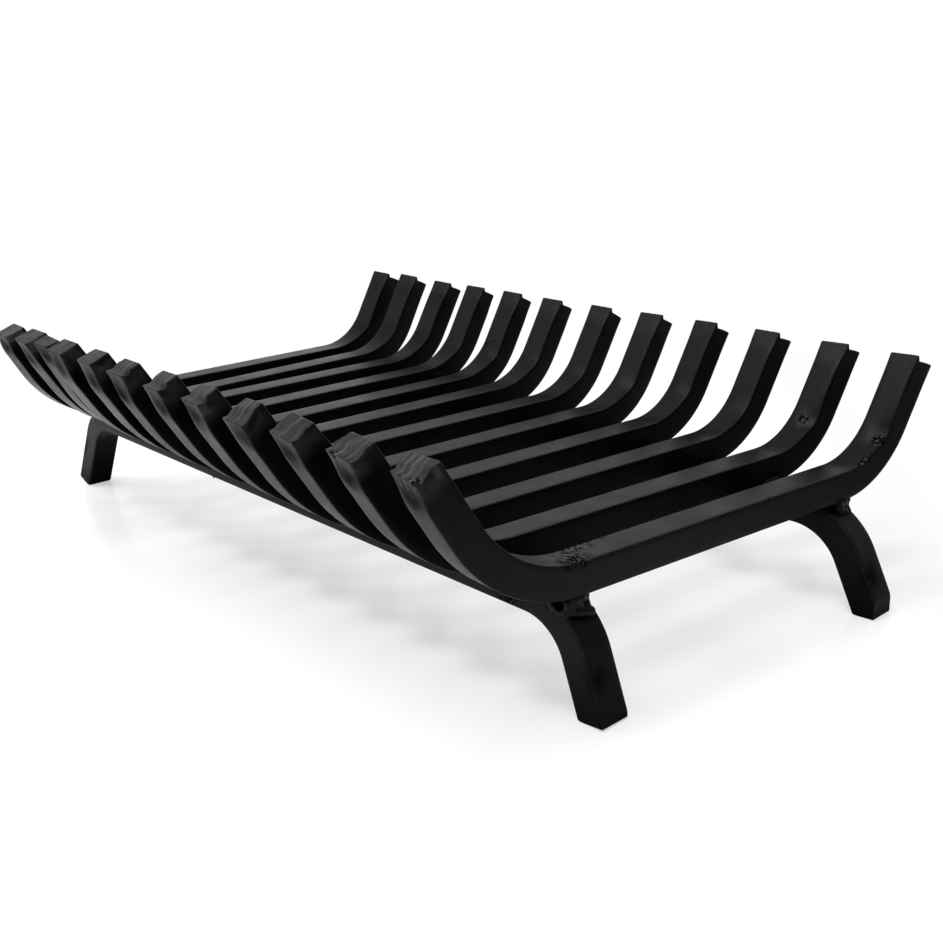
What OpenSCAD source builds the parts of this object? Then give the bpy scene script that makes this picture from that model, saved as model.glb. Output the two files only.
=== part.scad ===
// Welded log grate: square bars, bent up at both ends, stand on two bent leg rails.
// Lengths are in millimetres and angles in degrees.
// +X runs along the rails, +Y from the front arms to the rear arms and +Z up.
// The origin lies on the floor, under the middle of the grate.

/* [Bars] */
// Number of grate bars
bar_count = 12; // [8:1:16]
// Thickness of the square stock that the bars are bent from
bar_stock = 19; // [14:0.5:24]
// Distance between the middles of evenly spaced neighbours
bar_pitch = 49.6; // [46:0.1:70]
// Turn of each bar in plan against its neighbour, which narrows the front
bar_fan = 0.88; // [0:0.02:1.1]
// Length of the flat between the two bends of a bar
bed_depth = 221.5; // [190:0.5:320]

/* [Crowded bars] */
// How far the first bar stands to the right of its place in an even row
first_bar_shift = 25; // [22:0.5:28]
// The same for the second bar
second_bar_shift = 20; // [17:0.5:23]
// The same for the third bar
third_bar_shift = 9.5; // [7:0.5:12]
// The same for the fourth bar
fourth_bar_shift = 6; // [3:0.5:9]
// The same for the fifth bar
fifth_bar_shift = 2.5; // [0:0.5:6]

/* [Skewed bars] */
// Turn of the first bar beyond the even fan
first_bar_turn = -2.5; // [-3.5:0.1:-1.5]
// The same for the second bar
second_bar_turn = -0.3; // [-1.3:0.1:0.7]
// The same for the third bar
third_bar_turn = -2.9; // [-3.5:0.1:-1.9]
// The same for the fourth bar
fourth_bar_turn = -1.5; // [-2.5:0.1:-0.5]
// The same for the fifth bar
fifth_bar_turn = -1; // [-2:0.1:0]
// The same for the sixth bar
sixth_bar_turn = -0.8; // [-1.8:0.1:0.2]
// The same for the seventh bar
seventh_bar_turn = -1.3; // [-2.3:0.1:-0.3]
// The same for the eighth bar
eighth_bar_turn = -0.5; // [-1.5:0.1:0.5]

/* [Front arms] */
// Angle that the front end of a bar is bent up
front_bend_angle = 58; // [50:0.5:80]
// Inner radius of the front bend
front_bend_radius = 78; // [35:1:90]
// Number of bars at the left whose front bends are tighter
tight_bends = 3; // [0:1:5]
// Angle that the front ends of those bars are bent up
tight_bend_angle = 61; // [50:0.5:80]
// Inner radius of those bends
tight_bend_radius = 65; // [35:1:90]
// Straight length of the front arm past its bend
front_arm = 42.5; // [15:0.5:60]

/* [Rear arms] */
// Angle that the rear end of a bar is bent up
rear_bend_angle = 60; // [45:0.5:80]
// Inner radius of the rear bend
rear_bend_radius = 50; // [35:1:75]
// Straight length of the rear arm past its bend
rear_arm = 45.5; // [15:0.5:60]

/* [Sheared tips] */
// Thickness of the lip that the shear leaves on the inner side of a front tip
front_lip = 11; // [3:0.5:13]
// Thickness of the same lip on a rear tip
rear_lip = 4; // [2.5:0.5:13]
// Height of the lips over the rest of the tips
lip_height = 1; // [0.5:0.5:4]

/* [Bed height] */
// Height of the bed over the floor at the first bar
first_bar_height = 95.8; // [85:0.1:120]
// Height of the bed over the floor at the last bar
last_bar_height = 87; // [80:0.5:115]

/* [Leg rails] */
// Thickness of the bar that the leg rails are bent from
rail_stock = 18; // [14:0.5:22]
// Depth of the same bar, from its front face to its back face
rail_depth = 20.5; // [14:0.5:24]
// Distance of the front rail's front face behind the start of the front bends
front_rail_inset = -8.5; // [-9:0.5:60]
// Distance of the rear rail's back face in front of the start of the rear bends
rear_rail_inset = -6; // [-7:0.5:60]
// Start of the front rail's left bend, to the left of the first bar's middle
front_rail_left = 6; // [5:0.5:40]
// Start of the front rail's right bend, to the right of the last bar's middle
front_rail_right = -35.5; // [-36:0.5:-26]
// Start of the rear rail's left bend, to the left of the first bar's middle
rear_rail_left = 40.5; // [20:0.5:80]
// Start of the rear rail's right bend, to the right of the last bar's middle
rear_rail_right = -8; // [-12:0.5:-2]

/* [Legs] */
// Inner radius of the bends between the front rail and its legs
front_leg_radius = 29; // [26:1:34]
// Inner radius of the bends between the rear rail and its legs
rear_leg_radius = 34; // [30:1:36]
// Lean of the front left leg away from upright
front_left_splay = 30; // [10:0.5:35]
// Lean of the front right leg away from upright
front_right_splay = 20.5; // [10:0.5:35]
// Lean of the rear left leg away from upright
rear_left_splay = 27; // [10:0.5:35]
// Lean of the rear right leg away from upright
rear_right_splay = 26.5; // [10:0.5:35]
// Width of the strip of each foot that lies flat on the floor
toe_flat = 4; // [2:0.5:8]
// Rise of the cut end from that strip outwards, at the front left foot
front_left_rise = 20; // [0.5:0.5:30]
// Rise of the cut end at the other three feet
foot_rise = 2; // [0.5:0.5:10]
// Width of the front right foot, whose outer corner is cut upright
front_right_foot = 17; // [14:0.5:19]
// Width of the rear right foot, whose outer corner is cut upright too
rear_right_foot = 14; // [12:0.5:19]

/* [Welds] */
// Leg of the fillet beads beside the bars
bead_leg = 4; // [2:0.5:5]
// Distance that a weld stops short of the rail's front and back faces
bead_margin = 1.5; // [1:0.5:4]
// Width of the weld that fills the gap under the last bar on the front rail
front_fill_width = 17; // [10:0.5:19]
// Width of the weld that props the last bar on the rear rail
rear_fill_width = 8; // [5:0.5:12]

/* [Hidden] */
// The first bars stand closer together than an even row, each this far to the right
crowding = [first_bar_shift, second_bar_shift, third_bar_shift, fourth_bar_shift,
    fifth_bar_shift];
// The first bars are turned by this much beyond the even fan
extra_turn = [first_bar_turn, second_bar_turn, third_bar_turn, fourth_bar_turn,
    fifth_bar_turn, sixth_bar_turn, seventh_bar_turn, eighth_bar_turn];
bar_names = [for (i = [1:bar_count]) str("grate_bar_", i < 10 ? "0" : "", i)];
arc_steps = 16;
paint = "#232323";
bead_paint = "#2c2c2c";

function listed(list, i) = i <= len(list) ? list[i - 1] : 0;
function bar_x(i) = (i - bar_count / 2) * bar_pitch + listed(crowding, i);
function bar_turn(i) = (bar_count / 2 - i) * bar_fan + listed(extra_turn, i);

first_x = bar_x(1);
last_x = bar_x(bar_count);
lean = asin((first_bar_height - last_bar_height) / (last_x - first_x));
bed_height = last_bar_height + last_x * sin(lean);

front_reach = bed_depth / 2 + (front_bend_radius + bar_stock) * sin(front_bend_angle)
    + (front_arm - lip_height) * cos(front_bend_angle);
rear_reach = bed_depth / 2 + (rear_bend_radius + bar_stock) * sin(rear_bend_angle)
    + (rear_arm - lip_height) * cos(rear_bend_angle);
bed_shift = (front_reach - rear_reach) / 2;

// In the bed's own frame the tops of the flats lie at height 0, and the middle bar at x = 0
rail_top = -bar_stock;
rail_bottom = rail_top - rail_stock;
front_rail_y = -bed_depth / 2 + front_rail_inset;
rear_rail_y = bed_depth / 2 - rear_rail_inset - rail_depth;
longest_leg = max(first_bar_height, last_bar_height) / cos(35);
room = 2 * (last_x - first_x);
// Where the rails bend down into their left and right legs
front_bends = [first_x - front_rail_left, last_x + front_rail_right];
rear_bends = [first_x - rear_rail_left, last_x + rear_rail_right];

// Where the inner side of a leg meets the floor; side is 1 on the right, -1 on the left
function inner_toe(bend_x, side, radius, splay) =
    let (x = bend_x + side * radius * cos(splay),
         z = rail_bottom - radius + radius * sin(splay),
         height = bed_height - x * sin(lean) + z * cos(lean))
    x * cos(lean) + z * sin(lean) + side * height * tan(splay - side * lean);

// How far the outer side of a leg reaches, down to where the end cut meets it
function outer_toe(bend_x, side, radius, splay, rise) =
    let (tilt = splay - side * lean,
         back = tan(rise) * tan(tilt),
         reach = (rail_stock / cos(tilt) + toe_flat * back) / (1 + back))
    inner_toe(bend_x, side, radius, splay) + side * reach;

left_end = min(
    outer_toe(front_bends[0], -1, front_leg_radius, front_left_splay, front_left_rise),
    outer_toe(rear_bends[0], -1, rear_leg_radius, rear_left_splay, foot_rise));
// Where the right feet are cut upright
front_trim = inner_toe(front_bends[1], 1, front_leg_radius, front_right_splay)
    + front_right_foot;
rear_trim = inner_toe(rear_bends[1], 1, rear_leg_radius, rear_right_splay)
    + rear_right_foot;
right_end = max(
    min(front_trim,
        outer_toe(front_bends[1], 1, front_leg_radius, front_right_splay, foot_rise)),
    min(rear_trim,
        outer_toe(rear_bends[1], 1, rear_leg_radius, rear_right_splay, foot_rise)));
centre_shift = -(left_end + right_end) / 2;

// Places its children, drawn in the bed's frame, at the bed's height and lean
module on_bed() {
    translate([centre_shift, bed_shift, bed_height])
        rotate([0, lean, 0])
            children();
}

// Places its children, drawn in the middle of a bar's flat, at bar number i
module at_bar(i) {
    on_bed()
        translate([bar_x(i), 0, 0])
            rotate([0, 0, bar_turn(i)])
                children();
}

// Points along an arc around `centre`
function arc(centre, radius, from, to) =
    [for (k = [0:arc_steps])
        let (angle = from + (to - from) * k / arc_steps)
        centre + radius * [cos(angle), sin(angle)]];

// The same points on the other side of the y axis, in the opposite order
function mirrored(points) =
    [for (k = [len(points) - 1:-1:0]) [-points[k][0], points[k][1]]];

// One bent-up end of a bar, from its underside round the sheared tip to its top
function bar_end(radius, angle, arm, lip) =
    let (centre = [bed_depth / 2, radius],
         along = [cos(angle), sin(angle)],
         inward = [-sin(angle), cos(angle)],
         underside = centre - (radius + bar_stock) * inward,
         lip_foot = underside + (bar_stock - lip) * inward)
    concat(
        arc(centre, radius + bar_stock, -90, angle - 90),
        [underside + (arm - lip_height) * along,
         lip_foot + (arm - lip_height) * along,
         lip_foot + arm * along,
         underside + bar_stock * inward + arm * along],
        arc(centre, radius, angle - 90, -90));

// Side outline of a bar: its length along x, its height along y
module bar_outline(front_radius, front_angle) {
    polygon(concat(
        bar_end(rear_bend_radius, rear_bend_angle, rear_arm, rear_lip),
        mirrored(bar_end(front_radius, front_angle, front_arm, front_lip))));
}

module grate_bar(i) {
    tight = i <= tight_bends;
    color(paint)
        at_bar(i)
            rotate([90, 0, 90])
                linear_extrude(bar_stock, center = true)
                    bar_outline(tight ? tight_bend_radius : front_bend_radius,
                        tight ? tight_bend_angle : front_bend_angle);
}

// A right leg, from the top of its rail to the rail's underside, long enough to pass
// through the floor
function long_leg(bend_x, radius, splay) =
    let (centre = [bend_x, rail_bottom - radius],
         outward = [cos(splay), sin(splay)],
         down = longest_leg * [sin(splay), -cos(splay)])
    concat(
        arc(centre, radius + rail_stock, 90, splay),
        [centre + (radius + rail_stock) * outward + down,
         centre + radius * outward + down],
        arc(centre, radius, splay, 90));

// Front outline of a rail in the bed's frame, before its feet are cut
module rail_outline(bends, radius, left_splay, right_splay) {
    polygon(concat(
        long_leg(bends[1], radius, right_splay),
        mirrored(long_leg(-bends[0], radius, left_splay))));
}

// What the end cut takes off a foot, outside the strip that lies on the floor
module foot_cut(toe, side, rise) {
    translate([toe + side * toe_flat, 0])
        mirror([side < 0 ? 1 : 0, 0])
            rotate(rise)
                translate([0, -longest_leg])
                    square(longest_leg);
}

// A whole rail with its two legs, cut off at the floor and, on the right, upright at `trim`
module leg_rail(y, bends, radius, left_splay, right_splay, left_rise, trim) {
    translate([centre_shift, bed_shift + y + rail_depth, 0])
        rotate([90, 0, 0])
            linear_extrude(rail_depth)
                difference() {
                    intersection() {
                        translate([0, bed_height])
                            rotate(-lean)
                                rail_outline(bends, radius, left_splay, right_splay);
                        translate([-room, 0])
                            square([room + trim, room]);
                    }
                    foot_cut(inner_toe(bends[0], -1, radius, left_splay), -1, left_rise);
                    foot_cut(inner_toe(bends[1], 1, radius, right_splay), 1, foot_rise);
                }
}

module front_leg_rail() {
    color(paint)
        leg_rail(front_rail_y, front_bends, front_leg_radius,
            front_left_splay, front_right_splay, front_left_rise, front_trim);
}

module rear_leg_rail() {
    color(paint)
        leg_rail(rear_rail_y, rear_bends, rear_leg_radius,
            rear_left_splay, rear_right_splay, foot_rise, rear_trim);
}

// Fillet beads along both sides of every bar but the last, on top of one rail
module rail_beads(y) {
    for (i = [1:bar_count - 1])
        for (side = [-1, 1])
            at_bar(i)
                translate([side * bar_stock / 2, y + rail_depth / 2, rail_top])
                    rotate([90, 0, 0])
                        linear_extrude(rail_depth - 2 * bead_margin, center = true)
                            polygon([[0, 0], [side * bead_leg, 0], [0, bead_leg]]);
}

module front_rail_beads() {
    color(bead_paint)
        rail_beads(front_rail_y);
}

module rear_rail_beads() {
    color(bead_paint)
        rail_beads(rear_rail_y);
}

// Weld that fills the gap between the underside of the last bar and the bend of a rail;
// the child is the rail's outline
module last_bar_weld(y, width) {
    right = last_x - (y + rail_depth / 2) * tan(bar_turn(bar_count)) + bar_stock / 2;
    on_bed()
        translate([0, y + rail_depth - bead_margin, 0])
            rotate([90, 0, 0])
                linear_extrude(rail_depth - 2 * bead_margin)
                    difference() {
                        translate([right - width, rail_bottom])
                            square([width, rail_stock]);
                        children();
                    }
}

module front_right_weld() {
    color(bead_paint)
        last_bar_weld(front_rail_y, front_fill_width)
            rail_outline(front_bends, front_leg_radius, front_left_splay, front_right_splay);
}

module rear_right_weld() {
    color(bead_paint)
        last_bar_weld(rear_rail_y, rear_fill_width)
            rail_outline(rear_bends, rear_leg_radius, rear_left_splay, rear_right_splay);
}

for (i = [1:bar_count])
    grate_bar(i);
front_leg_rail();
rear_leg_rail();
front_rail_beads();
rear_rail_beads();
front_right_weld();
rear_right_weld();
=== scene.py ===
import math

import bmesh
import bpy
from mathutils import Matrix, Vector, noise


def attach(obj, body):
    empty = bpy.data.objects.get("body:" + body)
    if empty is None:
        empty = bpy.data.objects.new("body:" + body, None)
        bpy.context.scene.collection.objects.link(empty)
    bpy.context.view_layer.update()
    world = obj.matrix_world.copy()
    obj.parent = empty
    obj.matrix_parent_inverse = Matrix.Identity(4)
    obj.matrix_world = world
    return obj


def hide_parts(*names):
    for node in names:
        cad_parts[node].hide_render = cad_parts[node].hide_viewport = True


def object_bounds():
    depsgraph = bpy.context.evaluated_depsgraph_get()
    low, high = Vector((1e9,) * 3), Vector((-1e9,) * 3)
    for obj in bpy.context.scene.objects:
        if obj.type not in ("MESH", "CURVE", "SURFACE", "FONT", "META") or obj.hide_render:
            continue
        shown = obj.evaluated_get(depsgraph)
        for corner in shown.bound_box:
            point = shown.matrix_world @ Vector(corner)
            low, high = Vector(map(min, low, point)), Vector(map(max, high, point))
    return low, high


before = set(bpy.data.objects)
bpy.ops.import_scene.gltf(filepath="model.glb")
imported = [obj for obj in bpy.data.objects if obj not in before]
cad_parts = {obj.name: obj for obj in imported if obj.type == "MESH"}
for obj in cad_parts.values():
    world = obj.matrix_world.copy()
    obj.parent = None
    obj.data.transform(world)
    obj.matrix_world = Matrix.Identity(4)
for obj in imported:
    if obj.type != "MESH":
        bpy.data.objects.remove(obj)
cadLow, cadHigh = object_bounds()
scene = bpy.context.scene
mm = 0.001

# The grate's sizes in millimetres and degrees
bars = {
    "count": 12, "stock": 19.0, "pitch": 49.6, "bed": 221.5,
    "fan": 0.88,  # how much more each bar is turned than the next
    "front": {"angle": 58.0, "radius": 78.0, "arm": 42.5},
    "rear": {"angle": 60.0, "radius": 50.0, "arm": 45.5},
    "lip": 1.0,  # how far the inner side of a sheared tip stands over the outer one
    "firstHeight": 95.8, "lastHeight": 87.0,
    # where a bar stands off the even pitch, and how far it is turned off the even fan
    "shift": {1: 25.0, 2: 20.1, 3: 9.4, 4: 6.1, 5: 2.4, 6: -1.6, 7: -1.7, 8: -1.0,
              9: -0.8, 10: -0.3},
    "turn": {1: -2.5, 2: -0.3, 3: -2.8, 4: -1.5, 5: -1.0, 6: -0.8, 7: -1.3, 8: -0.5,
             9: -0.3, 10: -0.1, 11: -0.3, 12: 0.3},
    # front bends that came out tighter than the rest: angle and inner radius
    "tight": {1: (61.2, 64.9), 2: (58.5, 65.0), 3: (62.5, 63.2), 4: (58.0, 75.9),
              5: (58.0, 75.0), 6: (58.0, 75.5), 7: (58.0, 73.6), 8: (58.0, 76.3)},
}
rails = {
    "stock": 18.0, "depth": 20.5,
    # inset from the bars' bend lines, where the legs bend away outside the end bars, and
    # where the right feet are cut upright
    "front": {"inset": -8.5, "left": 6.0, "right": -35.5, "radius": 29.0,
              "leftSplay": 30.0, "rightSplay": 20.5, "leftRise": 20.0, "rightRise": 5.0,
              "trim": 17.0},
    "rear": {"inset": -6.0, "left": 40.5, "right": -8.0, "radius": 34.0,
             "leftSplay": 27.0, "rightSplay": 26.5, "leftRise": 2.0, "rightRise": 2.0,
             "trim": 14.0},
    "toeFlat": 4.0,  # how much of a foot is level before its outer edge rises
    "edge": 1.1, "endEdge": 0.5,  # rounding along the rail and at the feet
    "railRings": 60, "bendRings": 20,
    "legRings": [1.0, 0.975, 0.94, 0.9, 0.85, 0.8, 0.74, 0.68, 0.6, 0.52, 0.44, 0.36,
                 0.28, 0.2, 0.1, 0.0],
    # smoke on the outer face of each leg, as shares of its length and of its half width
    "smoke": {"most": 1.3, "down": 0.33, "length": 0.17, "across": -0.45, "width": 0.7},
}
stock, halfBed, halfStock = bars["stock"], bars["bed"] / 2, bars["stock"] / 2


def barX(i):  # place along the rails
    return (i - bars["count"] / 2) * bars["pitch"] + bars["shift"].get(i, 0.0)


def barTurn(i):  # in degrees, seen from above
    return (bars["count"] / 2 - i) * bars["fan"] + bars["turn"].get(i, 0.0)


firstX, lastX = barX(1), barX(bars["count"])
lean = math.asin((bars["firstHeight"] - bars["lastHeight"]) / (lastX - firstX))
bedHeight = bars["lastHeight"] + lastX * math.sin(lean)


def reach(end):  # from the middle of the bed to the outer corner of the tips
    angle = math.radians(end["angle"])
    return (halfBed + (end["radius"] + stock) * math.sin(angle)
            + (end["arm"] - bars["lip"]) * math.cos(angle))


bedShift = (reach(bars["front"]) - reach(bars["rear"])) / 2
railUnder = -stock - rails["stock"]


# From the bed to the standing grate, in millimetres, before it is centred sideways
def fromBed(x, y, z):
    return Vector((x * math.cos(lean) + z * math.sin(lean), y + bedShift,
                   bedHeight - x * math.sin(lean) + z * math.cos(lean)))


# Angle, inner radius and arm of one end of bar i
def bendOf(i, endName):
    end = dict(bars[endName])
    if endName == "front" and i in bars["tight"]:
        end["angle"], end["radius"] = bars["tight"][i]
    return end


# Where a leg bends away, how it splays and where its foot stands. Side is -1 or 1
def legData(rail, side):
    sideName = "right" if side > 0 else "left"
    start = lastX + rail["right"] if side > 0 else firstX - rail["left"]
    splay = math.radians(rail[sideName + "Splay"])
    x = start + side * rail["radius"] * math.cos(splay)
    z = railUnder - rail["radius"] + rail["radius"] * math.sin(splay)
    foot = fromBed(x, 0, z)
    toe = foot.x + side * foot.z * math.tan(splay - side * lean)
    return {"bend": start, "splay": splay, "toe": toe, "radius": rail["radius"],
            "rise": math.radians(rail[sideName + "Rise"]),
            "trim": rail["trim"] if side > 0 else math.inf}


# The grate is centred between its outermost points, and the rear right foot is one
centreShift = cadHigh.x / mm - (legData(rails["rear"], 1)["toe"] + rails["rear"]["trim"])
print("sideways centring, mm:", round(centreShift, 4))


def toRow(p):  # millimetres to the frame's own metres
    return Vector(((p.x + centreShift) * mm, p.y * mm, p.z * mm))


def smooth(a, b, t):  # eases from 0 at a to 1 at b
    t = min(1.0, max(0.0, (t - a) / (b - a)))
    return t * t * (3 - 2 * t)


# A node's socket is joined to another one, or given a plain value
def feed(tree, socket, value):
    if hasattr(value, "links"):
        tree.links.new(value, socket)
    else:
        socket.default_value = value


def addNode(tree, kind, sockets=None, **settings):
    node = tree.nodes.new(kind)
    for key, value in settings.items():
        setattr(node, key, value)
    for key, value in (sockets or {}).items():
        feed(tree, node.inputs[key], value)
    return node


def output(tree, kind, sockets=None, **settings):  # a new node's first output
    return addNode(tree, kind, sockets, **settings).outputs[0]


# Nodes in columns, by the longest way from each one to the last
def layOut(tree, wide=220, high=260):
    column = {node.name: 0 for node in tree.nodes}
    for _ in range(len(tree.nodes)):
        for join in tree.links:
            column[join.from_node.name] = max(column[join.from_node.name],
                                              column[join.to_node.name] + 1)
    filled = {}
    for node in tree.nodes:
        place = column[node.name]
        node.location = (-wide * place, -high * filled.get(place, 0))
        filled[place] = filled.get(place, 0) + 1


def noiseOf(tree, coords, scale, detail=3.0, rough=0.5, distortion=0.0):
    return output(tree, "ShaderNodeTexNoise", {
        "Scale": scale, "Detail": detail, "Roughness": rough, "Distortion": distortion,
        "Vector": coords})


def mapRange(tree, value, low, high, toLow=0.0, toHigh=1.0, kind="LINEAR"):
    return output(tree, "ShaderNodeMapRange", {
        "From Min": low, "From Max": high, "To Min": toLow, "To Max": toHigh,
        "Value": value}, interpolation_type=kind)


def calc(tree, kind, *values):
    return output(tree, "ShaderNodeMath", dict(enumerate(values)), operation=kind)


def measure(tree, kind, *vectors):
    return addNode(tree, "ShaderNodeVectorMath", dict(enumerate(vectors)),
                   operation=kind).outputs["Value"]


def mixColour(tree, share, under, over):
    return addNode(tree, "ShaderNodeMix", {0: share, 6: under, 7: over},
                   data_type="RGBA").outputs[2]


def mixNumber(tree, share, under, over):
    return output(tree, "ShaderNodeMix", {0: share, 2: under, 3: over}, data_type="FLOAT")


def rampOf(tree, value, places, colours):
    node = addNode(tree, "ShaderNodeValToRGB", {"Fac": value})
    for element, place, colour in zip(node.color_ramp.elements, places, colours):
        element.position = place
        element.color = colour
    return node.outputs["Color"]


def newMaterial(name):
    mat = bpy.data.materials.new(name)
    mat.use_nodes = True
    return mat, mat.node_tree, mat.node_tree.nodes["Principled BSDF"]


def grey(v, blue=1.02):  # the black leans a trace to blue
    return (v, v, v * blue, 1.0)


# The paint's patterns, with scales in features per metre. A range says where a pattern
# starts and where it is full, and then how strong it is at both
paint = {
    "mottle": {"scale": 38.0, "detail": 4.0, "rough": 0.55},
    "fine": {"scale": 420.0, "detail": 3.0, "rough": 0.6},
    "grain": {"scale": 1500.0, "detail": 2.0, "rough": 0.5},
    "dents": {"scale": 110.0, "detail": 2.0, "rough": 0.45, "distortion": 0.4},
    # the rubbed edges are also lighter as a painted highlight
    "mottleRange": (0.3, 0.7), "rubAndHighlightRange": (0.4, 0.65, 0.05, 0.7),
    "smudgeRange": (0.35, 0.6, 0.3, 1.0), "smokeRange": (0.3, 0.7, 0.45, 1.0),
    # streaks that the shear left on the tips, which the paint lightens as a painted highlight
    "shear": {"scale": 420.0, "detail": 4.0, "rough": 0.6},
    "shearStretch": (1.0, 0.06, 0.06), "shearRange": (0.5, 0.66), "cutEndRange": (0.85, 1.0),
    # chips, in few of the cells
    "chipScale": 34.0, "chipRange": (0.016, 0.03, 1.0, 0.0), "chipPick": (0.86, 0.87),
    # ragged scuffs, and cracks, dots and flakes where the steel was pressed
    "ragged": {"scale": 150.0, "detail": 5.0, "rough": 0.65, "distortion": 2.0},
    "raggedRange": (0.48, 0.53), "crackScale": 260.0, "crackRange": (0.07, 0.2, 1.0, 0.0),
    "speck": {"scale": 520.0, "detail": 3.0, "rough": 0.55},
    "dotRange": (0.645, 0.68), "flakeRange": (0.58, 0.66), "speckShare": 0.42,
    # the streak grey is a painted highlight on the shear streaks
    "rubbedAndHighlightGrey": 0.016, "streakHighlightGrey": 0.05, "bareGrey": 0.22, "scuffGrey": 0.001,
    # gloss: dull where smoke and scuffs are, and painted shade that darkens the reflection in the
    # gaps between the bars, found by ambient occlusion
    "ior": 1.17, "sheen": 0.03, "sheenRough": 0.25, "tipRough": 0.12, "dullRough": 0.9,
    "gapShadeReach": 0.05, "gapShadeRays": 6, "gapShadeRange": (0.58, 0.95), "openGloss": 0.52,
    "dullGloss": 0.08,
    # relief, over the grain
    "reliefDepth": 0.00025, "fineRelief": 0.5, "dentRelief": 1.6, "markRelief": -1.4,
    "speckRelief": 1.6, "streakRelief": 1.1,
}
finishes = {
    # gapShadeGloss is how much reflection the painted shade leaves in the gaps between the bars
    "bar_paint": {"deep": 0.0006, "pale": 0.0022, "rough": (0.3, 0.42), "relief": 0.3,
                  "gapShadeGloss": 0.03},
    "rail_paint": {"deep": 0.002, "pale": 0.004, "rough": (0.34, 0.46), "relief": 0.3,
                   "gapShadeGloss": 0.03},
    "weld_paint": {"deep": 0.002, "pale": 0.006, "rough": (0.26, 0.42), "relief": 0.45,
                   "gapShadeGloss": 0.3},
}
# Scuffed and pressed places in the grate's millimetres: centre and half sizes
scuffs = [((273.5, -88.0, 86.8), (9.0, 26.0, 7.0)), ((287.5, -104.0, 86.8), (8.0, 14.0, 5.0)),
          ((246.0, -108.0, 54.5), (13.0, 4.0, 5.5)), ((-60.0, 160.0, 118.0), (12.0, 9.0, 9.0))]
pressMarks = [((311.8, 155.5, 99.4), (6.0, 5.5, 6.0)), ((311.6, 137.5, 89.2), (2.2, 11.0, 3.0)),
              ((255.6, 158.4, 102.9), (4.5, 4.5, 4.5)), ((281.5, -200.0, 151.5), (4.5, 3.5, 3.5)),
              ((222.0, -200.5, 152.0), (4.0, 3.0, 3.0)), ((305.0, 46.8, 86.8), (3.0, 3.0, 3.0))]
patchEdge = (0.45, 1.0, 1.0, 0.0)  # a patch fades from here to its rim


# One soft mask over all the places
def patchMask(tree, coords, places):
    total = None
    for centre, size in places:
        at = output(tree, "ShaderNodeMapping", {
            "Vector": coords, "Location": [c * mm for c in centre],
            "Scale": [c * mm for c in size]}, vector_type="TEXTURE")
        mask = mapRange(tree, measure(tree, "LENGTH", at), *patchEdge)
        total = mask if total is None else calc(tree, "MAXIMUM", total, mask)
    return total


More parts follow.
